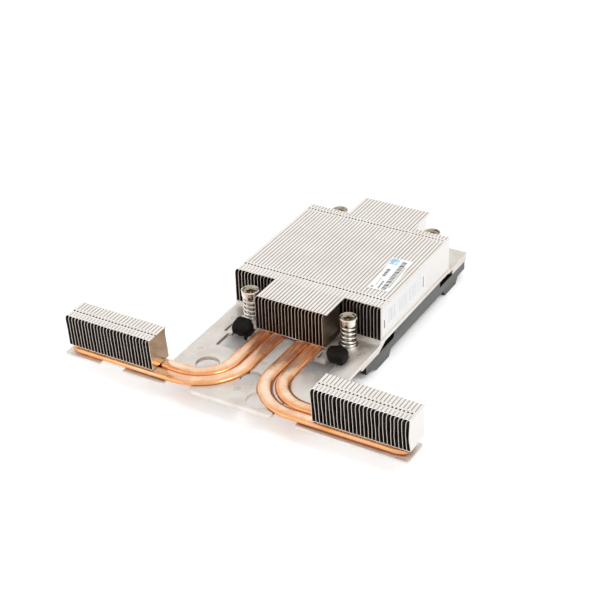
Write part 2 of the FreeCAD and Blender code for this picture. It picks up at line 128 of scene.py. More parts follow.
# Heat pipes
PIPE_W = 7.4
PIPE_T = 3.2
PIPE_Z = 4.9
PIPE_ROOT_Y = 30.0
PIPE_TIP_X = 92.5
OUTER_PIPE_X = 6.9
OUTER_PIPE_Y = -110.2
OUTER_BEND_R = 25.1
INNER_PIPE_X = 14.5
INNER_PIPE_Y = -102.6
LEFT_INNER_BEND_R = 17.5
RIGHT_INNER_BEND_R = 20.4
PIPE_STEP = 1.6
PIPE_SIDES = 48
PIPE_ROUNDNESS = 2.2
NOSE_L = 5.0
NOSE_W = 3.4
NOSE_T = 1.6
NOSE_CURVE = 0.6
DENT = 0.07
DENT_WAVES = 0.16

# Springs, and where the lower end of each wire starts, in degrees
SPRING_FOOT = 5.6
SPRING_H = 11.4
SPRING_R = 3.6
SPRING_WIRE = 1.1
SPRING_TURNS = 5.1
SPRING_FLAT = 0.5
SPRING_STARTS = {"front_left": -9.0, "front_right": 49.0, "rear_left": 130.0, "rear_right": 215.0}
STEPS_PER_TURN = 40
WIRE_SIDES = 14
WIRE_TIP = 0.55
WIRE_TAPER = 0.12

# Screws
HEAD_FOOT = 17.0
HEAD_TOP = 21.2
CUP_DEPTH = 1.1
CUP_R = 3.98
SHOULDER_R = 2.6
NECK_R = 1.58
THREAD_R = 1.96
THREAD_CORE_R = 1.68
THREAD_PITCH = 0.7
TIP_R = 1.3
AXIS_R = 0.02
SCREW_TIP = -4.6
SCREW_SIDES = 72
PAD_Z = 0.7
RING_FOOT = 0.1
RING_PLAY = 0.04

# Caps of the under frame's two posts: X, turn of the lobes, and rise of the lump on one side
POSTS = {"left": (-24.7, 0.9, 1.8), "right": (29.2, 2.4, 0.7)}
POST_Y = -60.2
CAP_RINGS = ((4.3, 4.7), (5.1, 5.3), (5.35, 6.6), (5.3, 8.0), (4.9, 9.0), (4.1, 9.8), (2.7, 10.1),
             (0.05, 10.15))
CAP_SIDES = 56
LUMP_ANGLE = 2.9

# Broken edges of the solids that keep the CAD's form, by the start of their nodes' names
EDGE_W = {"base": 0.4, "under": 0.25, "cold": 0.15, "tray": 0.15, "washer": 0.1, "ring": 0.06}
EDGE_SEGMENTS = 2
EDGE_ANGLE = 30
MERGE_GAP = 0.001
FLAT_ANGLE = 0.5

# The steepest angle, in degrees, that is still shaded smooth
FIN_SMOOTH = 40
ROUND_SMOOTH = 50
SCREW_SMOOTH = 28


# Shared helpers for meshes


def link(name, data):
    obj = bpy.data.objects.new(name, data)
    bpy.context.scene.collection.objects.link(obj)
    return obj


def shade(mesh, angle):
    mesh.polygons.foreach_set("use_smooth", [True] * len(mesh.polygons))
    mesh.set_sharp_from_angle(angle=math.radians(angle))


def mesh_object(name, verts, faces, smooth_angle):
    """An object from millimetre points and face loops, shaded smooth up to an angle."""
    mesh = bpy.data.meshes.new(name)
    mesh.from_pydata([Vector(v) * MM for v in verts], [], faces)
    mesh.validate()
    mesh.update()
    shade(mesh, smooth_angle)
    return link(name, mesh)


def outward(obj):
    """Turns all faces of a closed mesh outwards."""
    bm = bmesh.new()
    bm.from_mesh(obj.data)
    bmesh.ops.recalc_face_normals(bm, faces=bm.faces)
    bm.to_mesh(obj.data)
    bm.free()


def tube(name, rings, smooth_angle):
    """A closed piece from rings of points: a wall from each ring to the next, and two ends."""
    sides = len(rings[0])
    last = (len(rings) - 1) * sides
    faces = []
    for a in range(0, last, sides):
        b = a + sides
        for i in range(sides):
            j = (i + 1) % sides
            faces.append((a + i, a + j, b + j, b + i))
    faces.append(tuple(range(sides)))
    faces.append(tuple(range(last, last + sides)))
    obj = mesh_object(name, [point for ring in rings for point in ring], faces, smooth_angle)
    outward(obj)
    return obj


def angles(sides):
    """Even turns round a circle, in radians."""
    return [2 * math.pi * i / sides for i in range(sides)]


def clamped(value):
    return min(max(value, 0.0), 1.0)


def place(obj, body, material, nodes=()):
    """Rides the piece on its body, gives it its finish, and lets it stand for its nodes."""
    obj.data.materials.clear()
    obj.data.materials.append(material)
    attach(obj, body)
    if nodes:
        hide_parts(*nodes)


# Materials


class Finish:
    """A procedural material: a principled shader and short calls that add nodes before it.

    Patterns follow the object's own coordinates, which are the CAD's in metres."""

    def __init__(self, name):
        self.material = bpy.data.materials.new(name)
        self.material.use_nodes = True
        self.tree = self.material.node_tree
        self.shader = self.tree.nodes["Principled BSDF"]
        self.coords = self.tree.nodes.new("ShaderNodeTexCoord")

    def feed(self, value, socket):
        """Links another node's output to an input, or sets the input to a number or a colour."""
        if isinstance(value, bpy.types.NodeSocket):
            self.tree.links.new(value, socket)
        elif isinstance(value, (tuple, list)):
            socket.default_value = (*value, 1.0)[:4]
        else:
            socket.default_value = value

    def to(self, key, value):
        self.feed(value, self.shader.inputs[key])

    def noise(self, waves, stretch=(1, 1, 1), detail=4.0, roughness=0.55, distortion=0.0):
        """Cloudy noise, by its waves in a millimetre."""
        mapping = self.tree.nodes.new("ShaderNodeMapping")
        mapping.inputs["Scale"].default_value = stretch
        self.tree.links.new(self.coords.outputs["Object"], mapping.inputs["Vector"])
        node = self.tree.nodes.new("ShaderNodeTexNoise")
        node.inputs["Scale"].default_value = waves / MM
        node.inputs["Detail"].default_value = detail
        node.inputs["Roughness"].default_value = roughness
        node.inputs["Distortion"].default_value = distortion
        self.tree.links.new(mapping.outputs["Vector"], node.inputs["Vector"])
        return node.outputs["Fac"]

    def ramp(self, value, stops):
        """Maps a value through colour or grey stops, given as (position, colour)."""
        node = self.tree.nodes.new("ShaderNodeValToRGB")
        elements = node.color_ramp.elements
        while len(elements) < len(stops):
            elements.new(0.5)
        for element, (position, colour) in zip(elements, stops):
            element.position = position
            if isinstance(colour, (int, float)):
                colour = (colour, colour, colour)
            element.color = (*colour, 1.0)
        self.tree.links.new(value, node.inputs["Fac"])
        return node.outputs["Color"]

    def mix(self, share, a, b):
        """Colour a where the share is 0, and colour b where it is 1."""
        node = self.tree.nodes.new("ShaderNodeMix")
        node.data_type = "RGBA"
        for value, index in ((share, 0), (a, 6), (b, 7)):
            self.feed(value, node.inputs[index])
        return node.outputs[2]

    def math(self, operation, a, b=0.0, c=0.0):
        node = self.tree.nodes.new("ShaderNodeMath")
        node.operation = operation
        for value, socket in zip((a, b, c), node.inputs):
            self.feed(value, socket)
        return node.outputs["Value"]

    def product(self, a, b):
        return self.math("MULTIPLY", a, b)

    def most(self, a, b):
        return self.math("MAXIMUM", a, b)

    def distance(self, u, v):
        """How far a place lies from zero, by its two distances along square axes."""
        return self.math("SQRT", self.math("ADD", self.product(u, u), self.product(v, v)))

    def within(self, value, low, high):
        """1 where a value lies between two limits in millimetres, else 0."""
        return self.product(self.math("GREATER_THAN", value, low * MM),
                            self.math("LESS_THAN", value, high * MM))

    def zone(self, u, u_limits, v, v_limits):
        """1 inside a rectangle of two values, else 0."""
        return self.product(self.within(u, *u_limits), self.within(v, *v_limits))

    def split(self, output, which):
        node = self.tree.nodes.new("ShaderNodeSeparateXYZ")
        self.tree.links.new(self.coords.outputs[output], node.inputs["Vector"])
        return [node.outputs[axis] for axis in which]

    def axes(self, which):
        """The place on the object along the named axes, in metres."""
        return self.split("Object", which)

    def facing(self, which):
        """Where a surface faces along the named axes, from 0 for minus one to 1 for plus one."""
        return [self.math("MULTIPLY_ADD", axis, 0.5, 0.5) for axis in self.split("Normal", which)]

    def attribute(self, name):
        node = self.tree.nodes.new("ShaderNodeAttribute")
        node.attribute_name = name
        return node.outputs["Fac"]

    def bump(self, height, distance, strength):
        """Adds a relief on top of the ones before."""
        node = self.tree.nodes.new("ShaderNodeBump")
        node.inputs["Distance"].default_value = distance * MM
        node.inputs["Strength"].default_value = strength
        self.tree.links.new(height, node.inputs["Height"])
        normal = self.shader.inputs["Normal"]
        if normal.is_linked:
            self.tree.links.new(normal.links[0].from_socket, node.inputs["Normal"])
        self.tree.links.new(node.outputs["Normal"], normal)


# Where the painted shade in the seams of the folds is faded, half faded or deep, how far the remote
# blocks reach, and the inner flank of the left one, which gets a painted copper reflection
MAIN_PALE_Y = (-39.4, -33.1)
REMOTE_PALE_Y = (-112.3, -105.9)
REMOTE_HALF_PALE_Y = (-105.9, -98.0)
CENTRE_DEEP_Y = (-57.5, -39.4)
REMOTE_REACH_Y = (-114.0, -97.0)
LEFT_FLANK_X = (-45.5, -43.0)


def sheet_metal():
    """Warm plated fin sheet, with painted shade between the fins, in the seams of the folds and on
    its faces turned along X, painted highlights on the front edges near the folds, and a painted
    copper reflection on the left remote block's inner flank.
    """
    f = Finish("fin_sheet")
    x, y, z = f.axes("XYZ")
    turned_x, turned_y, turned_z = f.facing("XYZ")
    grain = f.noise(1.0, (5.0, 0.05, 5.0), detail=3.0)
    colour = f.ramp(f.noise(0.05), [(0.3, (0.88, 0.83, 0.775)), (0.7, (0.95, 0.915, 0.87))])
    colour = f.mix(f.ramp(grain, [(0.4, 0.0), (0.75, 0.2)]), colour, (0.66, 0.60, 0.54))

    # Painted shade in the seams of the folds on top, faded at the interlock rows and deeper over the
    # centre block's front part.
    painted_seam_shade = f.product(f.ramp(turned_x, [(0.15, 0.95), (0.28, 0.7), (0.36, 0.0)]),
                     f.ramp(turned_z, [(0.80, 0.0), (0.88, 1.0)]))
    pale = f.most(f.within(y, *MAIN_PALE_Y), f.within(y, *REMOTE_PALE_Y))
    pale = f.most(pale, f.product(f.within(y, *REMOTE_HALF_PALE_Y), 0.5))
    painted_seam_shade = f.product(painted_seam_shade, f.math("MULTIPLY_ADD", pale, -0.7, 1.0))
    seam_shade_tint = f.mix(f.within(y, *CENTRE_DEEP_Y), (0.33, 0.275, 0.235), (0.21, 0.16, 0.13))
    colour = f.mix(painted_seam_shade, colour, seam_shade_tint)

    # Painted shade: faces turned along X are painted a darker grey.
    painted_flank = f.ramp(turned_x, [(0.03, 1.0), (0.07, 0.0), (0.93, 0.0), (0.97, 1.0)])
    colour = f.mix(painted_flank, colour, (0.735, 0.71, 0.68))
    # Painted reflection of the copper pipes on the left remote block's inner flank.
    painted_copper_reflection = f.product(painted_flank, f.zone(x, LEFT_FLANK_X, y, REMOTE_REACH_Y))
    colour = f.mix(painted_copper_reflection, colour, (0.62, 0.47, 0.34))

    cut = f.ramp(turned_y, [(0.05, 1.0), (0.25, 0.0)])
    colour = f.mix(f.product(cut, 0.8), colour, (0.63, 0.565, 0.51))
    # Painted highlight: the front edges near the fin tops and feet, and at the remote blocks' tops,
    # are painted near white.
    painted_edge_highlight = f.most(f.within(z, FIN_TOP - 0.5, FIN_TOP + 1.0),
                   f.within(z, FIN_Z - 0.3, FIN_Z + 0.4))
    remote_painted_edge_highlight = f.zone(z, (REMOTE_TOP - 0.45, REMOTE_TOP + 1.5), y, REMOTE_REACH_Y)
    colour = f.mix(f.product(cut, f.most(painted_edge_highlight, remote_painted_edge_highlight)), colour, (0.95, 0.92, 0.88))

    # The inside attribute is painted shade between the fins: brown painted streaks where a face is
    # half shut in, near black deep between the fins.
    inside = f.attribute("inside")
    painted_streaks = f.mix(f.ramp(grain, [(0.4, 0.0), (0.62, 1.0)]),
                    (0.27, 0.215, 0.155), (0.42, 0.345, 0.26))
    colour = f.mix(f.ramp(inside, [(0.0, 0.0), (0.5, 1.0)]), colour, painted_streaks)
    colour = f.mix(f.ramp(inside, [(0.5, 0.0), (1.0, 1.0)]), colour, (0.042, 0.027, 0.017))
    f.to("Base Color", colour)
    f.to("Metallic", f.ramp(inside, [(0.7, 1.0), (1.0, 0.5)]))
    rough = f.ramp(f.noise(0.6, (3, 0.2, 3)), [(0.3, 0.16), (0.75, 0.28)])
    f.to("Roughness", f.mix(f.most(inside, cut), rough, (0.55, 0.55, 0.55)))
    f.bump(grain, 0.015, 0.4)
    return f.material


# Round marks on the plate, and the part of it whose openings have walls darkened by painted shade
EJECTOR_MARKS = ((-35.9, -83.0), (-1.3, -103.7), (-0.8, -79.9), (35.6, -51.9), (-35.6, -51.9))
EJECTOR_R = 2.2
EJECTOR_RIM_R = 2.6
OPENINGS_X = 41.3
OPENINGS_Y = (-98.8, -58.5)


def cast_metal():
    """Nickel-plated casting: satin, a little cloudy, with the marks of its mould's ejector pins, and
    painted shade on the walls of its openings.
    """
    f = Finish("nickel_casting")
    f.to("Metallic", 1.0)
    x, y = f.axes("XY")
    cloud = f.noise(0.06, detail=5.0, roughness=0.6, distortion=0.4)
    colour = f.ramp(cloud, [(0.3, (0.68, 0.625, 0.57)), (0.55, (0.78, 0.735, 0.685)),
                            (0.8, (0.85, 0.815, 0.77))])
    level = f.ramp(f.facing("Z")[0], [(0.2, 1.0), (0.4, 0.0), (0.6, 0.0), (0.8, 1.0)])
    among = f.product(f.math("LESS_THAN", f.math("ABSOLUTE", x), OPENINGS_X * MM),
                      f.within(y, *OPENINGS_Y))
    # Painted shade: the vertical walls of the openings in the front part are painted dark brown.
    wall = f.product(among, f.math("SUBTRACT", 1.0, level))
    colour = f.mix(f.product(wall, 0.6), colour, (0.40, 0.345, 0.285))
    rims = 0.0
    discs = 0.0
    for mark_x, mark_y in EJECTOR_MARKS:
        r = f.distance(f.math("SUBTRACT", x, mark_x * MM), f.math("SUBTRACT", y, mark_y * MM))
        rims = f.most(rims, f.within(r, EJECTOR_R, EJECTOR_RIM_R))
        discs = f.most(discs, f.math("LESS_THAN", r, EJECTOR_R * MM))
    colour = f.mix(f.product(rims, 0.5), colour, (0.95, 0.93, 0.90))
    colour = f.mix(f.product(discs, 0.18), colour, (0.45, 0.40, 0.36))
    f.to("Base Color", colour)
    f.to("Roughness", f.ramp(f.noise(0.25), [(0.3, 0.46), (0.7, 0.60)]))
    f.bump(f.noise(1.6, detail=3.0), 0.03, 0.5)
    f.bump(rims, 0.05, 0.6)
    f.bump(f.noise(0.2, detail=2.0), 0.10, 0.5)
    return f.material


# The painted shade and painted fin reflections on the pipes fade out between these two places in
# front of the origin.
FIN_SHADE_FULL_Y = -64.0
FIN_SHADE_END_Y = -88.0
FIN_SHADE_SPAN = -100.0


def drawn_copper():
    """Copper pipe, tinted by the soldering heat, with a painted highlight along its top and painted
    shade on its flanks.

    Near the fins it is painted darker, in stripes that stand for the fins' shade and reflections."""
    f = Finish("copper_pipe")
    y = f.axes("Y")[0]
    turned_z = f.facing("Z")[0]
    cloud = f.noise(0.07, roughness=0.6, distortion=0.6)
    spots = f.noise(0.35, roughness=0.65)
    colour = f.ramp(cloud, [(0.3, (0.80, 0.33, 0.12)), (0.5, (0.93, 0.46, 0.21)),
                            (0.7, (0.98, 0.60, 0.36))])
    colour = f.mix(f.ramp(spots, [(0.58, 0.0), (0.78, 0.4)]), colour, (0.56, 0.22, 0.13))
    pink = f.noise(0.045, detail=3.0, roughness=0.6, distortion=0.8)
    colour = f.mix(f.ramp(pink, [(0.55, 0.0), (0.72, 0.6)]), colour, (0.84, 0.44, 0.38))
    # Painted highlight along the top of the pipe.
    painted_top_highlight = f.product(f.ramp(turned_z, [(0.980, 0.0), (0.9995, 0.9)]),
                      f.ramp(cloud, [(0.38, 0.45), (0.58, 1.0)]))
    colour = f.mix(painted_top_highlight, colour, (1.0, 0.82, 0.64))
    # Painted shade on the pipe's flanks and underside.
    painted_flank = f.ramp(turned_z, [(0.76, 0.6), (0.962, 0.0)])
    colour = f.mix(painted_flank, colour, (0.72, 0.29, 0.11))
    # Painted shade and painted reflections of the fins, fading out away from them, with dark stripes;
    # the metal is made partly diffuse there.
    painted_fin_shade = f.ramp(f.math("DIVIDE", y, FIN_SHADE_SPAN * MM),
                    [(FIN_SHADE_FULL_Y / FIN_SHADE_SPAN, 0.85), (FIN_SHADE_END_Y / FIN_SHADE_SPAN, 0.0)])
    painted_streaks = f.ramp(f.noise(0.55, (1, 0.14, 1), detail=3.0),
                     [(0.40, (0.30, 0.07, 0.02)), (0.62, (0.84, 0.29, 0.09))])
    f.to("Base Color", f.mix(painted_fin_shade, colour, painted_streaks))
    f.to("Metallic", f.math("MULTIPLY_ADD", painted_fin_shade, -0.65, 1.0))
    f.to("Roughness", f.ramp(spots, [(0.3, 0.18), (0.7, 0.28)]))
    f.bump(f.noise(0.12, detail=2.0), 0.35, 0.5)
    return f.material


def milled_copper():
    """The machined copper block, with cutter marks."""
    f = Finish("milled_copper")
    f.to("Metallic", 1.0)
    marks = f.noise(2.0, (0.03, 1, 1), detail=2.0)
    tone = f.ramp(f.noise(0.05), [(0.3, (0.78, 0.38, 0.22)), (0.7, (0.87, 0.49, 0.31))])
    f.to("Base Color", tone)
    f.to("Roughness", f.ramp(marks, [(0.3, 0.22), (0.7, 0.38)]))
    f.bump(marks, 0.02, 0.6)
    return f.material


def turned_metal(name, dark, light, rough):
    """Turned or drawn plated steel: fine rings of the tool, a bright polish, and painted shade inside
    the screw head's cup.
    """
    f = Finish(name)
    f.to("Metallic", 1.0)
    x, y, z = f.axes("XYZ")
    axis_x, axis_y = CORNERS["rear_right"]
    r = f.distance(f.math("SUBTRACT", f.math("ABSOLUTE", x), axis_x * MM),
                   f.math("SUBTRACT", f.math("ABSOLUTE", y), axis_y * MM))
    # Painted shade: the screw head's cup is painted dark brown.
    cup = f.product(f.math("LESS_THAN", r, CUP_R * MM), f.math("GREATER_THAN", z, HEAD_FOOT * MM))
    colour = f.ramp(f.noise(0.3), [(0.3, dark), (0.7, light)])
    f.to("Base Color", f.mix(f.product(cup, 0.8), colour, (0.36, 0.29, 0.21)))
    rings = f.noise(3.0, (0.15, 0.15, 1.0), detail=2.0)
    f.to("Roughness", f.ramp(rings, [(0.3, rough), (0.7, rough + 0.12)]))
    f.bump(rings, 0.02, 0.4)
    return f.material


# The frame's outer flanks lie beyond this distance from the middle.
RAIL_X = 41.5


def black_plastic():
    """Matte black moulding with a fine spark-eroded grain. Its outer flanks are painted pale grey, a
    painted reflection of the white floor.
    """
    f = Finish("black_plastic")
    x = f.axes("X")[0]
    colour = f.ramp(f.noise(0.08), [(0.35, (0.004, 0.0036, 0.003)), (0.7, (0.008, 0.007, 0.006))])
    # Painted reflection: the rails' outer flanks are painted pale grey.
    painted_flank = f.ramp(f.facing("X")[0], [(0.0, 1.0), (0.06, 0.0), (0.94, 0.0), (1.0, 1.0)])
    painted_rail_reflection = f.product(painted_flank, f.math("GREATER_THAN", f.math("ABSOLUTE", x), RAIL_X * MM))
    f.to("Base Color", f.mix(painted_rail_reflection, colour, (0.17, 0.17, 0.168)))
    f.to("Specular IOR Level", 0.12)
    f.to("Roughness", f.ramp(f.noise(0.4), [(0.3, 0.42), (0.7, 0.56)]))
    f.bump(f.noise(3.5, detail=2.0), 0.03, 0.5)
    return f.material


def paper(name, fields):
    """A white paper label with plain printed fields, which come as pairs of a tint and a mask."""
    f = Finish(name)
    f.to("Roughness", 0.62)
    fibre = f.noise(0.8)
    colour = f.ramp(fibre, [(0.3, (0.88, 0.88, 0.875)), (0.7, (0.95, 0.95, 0.945))])
    for tint, mask in fields(f):
        colour = f.mix(mask, colour, tint)
    f.to("Base Color", colour)
    f.bump(fibre, 0.02, 0.4)
    return f.material


BAR_WOBBLE = 1.6


def bars(f, value, period, share, wobble):
    """Plain parallel bars across a value, with uneven widths."""
    steps = f.math("DIVIDE", value, period * MM)
    wave = f.math("FRACT", f.math("ADD", steps, f.product(wobble, BAR_WOBBLE)))
    return f.math("LESS_THAN", wave, share)


# The top label's middle and turn, and its fields by their limits along and across the label.
# A row of bars is its tint, period, share of ink and limits.
TOP_LABEL_X = 32.1
TOP_LABEL_Y = -9.5
TOP_LABEL_TURN = 4.0
TOP_BLUE = ((9.4, 15.2), (-5.3, -0.7))
TOP_SQUARE = ((-14.9, -12.9), (-4.9, -3.4))
TOP_BARS = (
    ((0.09, 0.09, 0.095), 1.25, 0.62, (-15.2, 13.6), (0.9, 3.4)),
    ((0.30, 0.30, 0.31), 0.8, 0.6, (-12.5, 9.0), (3.7, 4.6)),
    ((0.12, 0.12, 0.125), 1.5, 0.75, (-3.4, 4.6), (-3.6, -1.9)),
    ((0.55, 0.55, 0.56), 1.1, 0.5, (-12.0, -4.6), (-3.6, -2.4)),
    ((0.14, 0.14, 0.15), 2.3, 0.8, (-14.8, -6.6), (-1.1, -0.3)),
)


def top_label_fields(f):
    """A worn blue patch, rows of bars and a small square, turned with the label."""
    x, y = f.axes("XY")
    cos_turn = math.cos(math.radians(TOP_LABEL_TURN))
    sin_turn = math.sin(math.radians(TOP_LABEL_TURN))
    dx = f.math("SUBTRACT", x, TOP_LABEL_X * MM)
    dy = f.math("SUBTRACT", y, TOP_LABEL_Y * MM)
    along = f.math("ADD", f.product(dy, cos_turn), f.product(dx, -sin_turn))
    across = f.math("ADD", f.product(dx, cos_turn), f.product(dy, sin_turn))
    worn = f.ramp(f.noise(0.35, detail=2.0), [(0.38, 0.35), (0.52, 1.0)])
    blue_along, blue_across = TOP_BLUE
    blue = f.product(worn, f.zone(along, blue_along, across, blue_across))
    fields = [((0.30, 0.56, 0.70), blue)]
    wobble = f.noise(0.5, (0, 1, 0), detail=0.0)
    for tint, period, share, row_along, row_across in TOP_BARS:
        row = f.zone(along, row_along, across, row_across)
        fields.append((tint, f.product(bars(f, along, period, share, wobble), row)))
    square_along, square_across = TOP_SQUARE
    fields.append(((0.40, 0.44, 0.46), f.zone(along, square_along, across, square_across)))
    return fields


# The side label's fields, by their limits in Y and Z
SIDE_BARS_Y = ((-32.0, -24.5), (-19.5, -11.0), (-9.0, 1.5), (3.5, 5.5))
SIDE_BARS_Z = (12.6, 20.4)
SIDE_BAR_PERIOD = 1.7
SIDE_BAR_SHARE = 0.4
SIDE_ENDS = (((-36.2, -35.3), (12.2, 16.8)), ((7.0, 7.8), (12.4, 18.6)))


def side_label_fields(f):
    """Pale groups of bars between two dark end marks."""
    y, z = f.axes("YZ")
    wobble = f.noise(0.4, (0, 1, 0), detail=0.0)
    code = f.product(bars(f, y, SIDE_BAR_PERIOD, SIDE_BAR_SHARE, wobble), f.within(z, *SIDE_BARS_Z))
    spans = 0.0
    for low, high in SIDE_BARS_Y:
        spans = f.most(spans, f.within(y, low, high))
    ends = 0.0
    for y_limits, z_limits in SIDE_ENDS:
        ends = f.most(ends, f.zone(y, y_limits, z, z_limits))
    return [((0.73, 0.74, 0.77), f.product(code, spans)), ((0.16, 0.16, 0.17), ends)]


SHEET = sheet_metal()
CAST = cast_metal()
PIPE_COPPER = drawn_copper()
BLOCK_COPPER = milled_copper()
SCREW = turned_metal("screw_plating", (0.72, 0.66, 0.57), (0.86, 0.82, 0.75), 0.09)
SPRING = turned_metal("spring_plating", (0.68, 0.65, 0.60), (0.82, 0.80, 0.77), 0.12)
PLASTIC = black_plastic()


# Fins


def fin_path(pitch, top):
    """The fin's middle line in its own X and Z: foot flange, upright, fold and top flange."""
    half = FIN_T / 2
    low = FIN_Z + half
    high = top - half
    foot_r = FOOT_R - half
    points = [(pitch, low), (foot_r + half + FOOT_EASE, low)]
    for i in range(1, FOOT_STEPS + 1):
        a = math.radians(90 * i / FOOT_STEPS)
        points.append((half + foot_r * (1 - math.sin(a)), low + foot_r * (1 - math.cos(a))))
    rise_start = low + foot_r
    rise_end = high - FOLD_H
    for i in range(1, UPRIGHT_STEPS + 1):
        points.append((half, rise_start + (rise_end - rise_start) * i / UPRIGHT_STEPS))
    for i in range(1, FOLD_STEPS + 1):
        a = math.radians(90 * i / FOLD_STEPS)
        points.append((half + FOLD_W * (1 - math.cos(a)), rise_end + FOLD_H * math.sin(a)))
    for lap in (0.0, NOTCH_X0, FLANGE_LAP, TAB_LAP):
        points.append((pitch + lap, high))
    return points


def plain_path(top):
    """The middle line of a flat end plate, which stops a little above the fins' feet."""
    low = FIN_Z + END_PLATE_RISE
    steps = END_PLATE_STEPS
    return [(FIN_T / 2, low + (top - low) * i / steps) for i in range(steps + 1)]


def path_normals(path):
    """The direction across the sheet at each point of its middle line."""
    normals = []
    for i in range(len(path)):
        a = path[max(i - 1, 0)]
        b = path[min(i + 1, len(path) - 1)]
        ahead = Vector((b[0] - a[0], b[1] - a[1])).normalized()
        normals.append((ahead.y, -ahead.x))
    return normals


def rows_along(y0, y1, notches, step):
    """Y places for the rows of a fin: even steps, with exact edges round each notch and tab."""
    places = {y0, y1}
    for inset in EDGE_ROWS:
        places.update((y0 + inset, y1 - inset))
    for y in notches:
        for reach in (NOTCH_L / 2, TAB_L / 2):
            places.update((y - reach, y + reach))
    count = max(2, round((y1 - y0) / step))
    for i in range(1, count):
        y = y0 + (y1 - y0) * i / count
        if all(abs(y - n) > TAB_L / 2 + TAB_PLAY for n in notches):
            places.add(y)
    return sorted(places)


def notch_hole(notches, top, pitch):
    """Tells where the small openings of the interlock lie, across a flange's end and a fold.

    Beyond the flange's end only the interlock's tabs are left, one round each opening."""
    def open_at(x, y, z):
        away = min(abs(y - n) for n in notches)
        if x > pitch + FLANGE_LAP:
            return away > TAB_L / 2
        if z < top - NOTCH_DEPTH or not (NOTCH_X0 < x < NOTCH_X1 or x > pitch + NOTCH_X0):
            return False
        return away < NOTCH_L / 2
    return open_at


class Sheets:
    """The points and faces of thin folded sheets, and how far each face is shut in, which sets its
    painted shade.
    """

    def __init__(self):
        self.verts = []
        self.faces = []
        self.inside = []

    def face(self, corners, shut):
        self.faces.append(corners)
        self.inside.append(shut)

    def add(self, path, ys, move, shut_in, hole=None):
        """Runs a middle line along Y at a sheet's thickness, with holes where hole says so.

        move shifts each point, and shut_in tells how far a side is shut in at a place."""
        base = len(self.verts)
        layer = len(path) * len(ys)
        for side in (-1, 1):
            for (x, z), (nx, nz) in zip(path, path_normals(path)):
                for y in ys:
                    shift = side * FIN_T / 2
                    self.verts.append(move(x + shift * nx, y, z + shift * nz))

        def index(side, i, j):
            return base + side * layer + i * len(ys) + j

        cells = []
        for i in range(len(path) - 1):
            mx = (path[i][0] + path[i + 1][0]) / 2
            mz = (path[i][1] + path[i + 1][1]) / 2
            for j in range(len(ys) - 1):
                my = (ys[j] + ys[j + 1]) / 2
                if hole is None or not hole(mx, my, mz):
                    cells.append((i, j))
        solid = set(cells)
        for i, j in cells:
            upright = abs(path[i + 1][0] - path[i][0]) < 0.8 * abs(path[i + 1][1] - path[i][1])
            my = (ys[j] + ys[j + 1]) / 2
            a, b, c, d = (i, j), (i, j + 1), (i + 1, j + 1), (i + 1, j)
            self.face([index(0, *p) for p in (a, b, c, d)], shut_in(0, my) if upright else 0.0)
            self.face([index(1, *p) for p in (a, d, c, b)], shut_in(1, my))
            borders = (((i - 1, j), a, b), ((i + 1, j), c, d), ((i, j - 1), d, a), ((i, j + 1), b, c))
            for other, p, q in borders:
                if other not in solid:
                    self.face((index(0, *p), index(1, *p), index(1, *q), index(0, *q)), 0.0)


def belly(rise):
    """A bow that is nothing at a fin's foot and top, and one half way up."""
    return math.sin(math.pi * clamped(rise))


def fin_stack(name, first_x, count, pitch, top, y0, y1, notches, step, wave, bend=None,
              end_plate=False, lift=0.0):
    """A block of folded fins, each a little different from the next.

    The fins may lean, and stand taller towards the first. The last may be a flat end plate,
    over which the fin before it has no tabs. The flanges are cut slanting at the rear."""
    rng = random.Random(name)
    sheets = Sheets()
    ys = rows_along(y0, y1, notches, step)
    hole = notch_hole(notches, top, pitch)
    last = count - 1
    for i in range(count):
        share = i / last
        x0 = first_x + i * pitch
        slip = rng.uniform(-FIN_SLIP, FIN_SLIP)
        drop = rng.uniform(0.0, FIN_DROP)
        phase = rng.uniform(0, RIPPLE_PHASES)

        def move(x, y, z, share=share, x0=x0, slip=slip, drop=drop, phase=phase):
            rise = (z - FIN_Z) / (top - FIN_Z)
            ripple = noise.noise(Vector((phase, y * RIPPLE_WAVES_Y, z * RIPPLE_WAVES_Z)))
            mx = x0 + x + wave * belly(rise) * ripple
            if bend:
                mx += bend(share, y, rise)
            my = y + slip * (0.4 + 0.6 * rise)
            if y == y1 and z > top - SLANT_DEPTH:
                my += SLANT * (0.5 - clamped((x - SLANT_X) / SLANT_W))
            return (mx, my, z + (lift * (1 - share) - drop) * rise)

        # How far a side is shut in sets its painted shade. A block's last open fin gets painted shade
        # in front of BESIDE_BLOCK_Y, beside the next block's front.
        def shut_in(side, y, i=i):
            if side == 0 and i == 0:
                return 0.0
            if side == 1 and i == last:
                return SHUT_BESIDE_BLOCK if not end_plate and y < BESIDE_BLOCK_Y else 0.0
            depth = min(y - y0, y1 - y) / SHUT_FADE
            return min(1.0, SHUT_AT_EDGE + (1 - SHUT_AT_EDGE) * depth)

        if end_plate and i == last:
            sheets.add(plain_path(top), ys, move, shut_in)
        elif end_plate and i == last - 1:
            sheets.add(fin_path(pitch, top)[:-1], ys, move, shut_in, hole)
        else:
            sheets.add(fin_path(pitch, top), ys, move, shut_in, hole)
    obj = mesh_object(name + "_sheets", sheets.verts, sheets.faces, FIN_SMOOTH)
    marks = obj.data.attributes.new("inside", "FLOAT", "FACE")
    marks.data.foreach_set("value", sheets.inside)
    outward(obj)
    place(obj, BODY, SHEET, [name])


def lean(share, y, rise):
    """The left remote block leans outwards."""
    return 0.35 - 0.95 * rise


def bulge(share, y, rise):
    """The right remote block leans inwards a little, and its last fins bow at the front."""
    depth = (y - REMOTE_FRONT_Y) / (REMOTE_REAR_Y - REMOTE_FRONT_Y)
    bow = 0.55 * share ** 6 * belly(rise) * (1 - depth)
    return 0.25 - (1.05 - 0.5 * share) * rise - bow


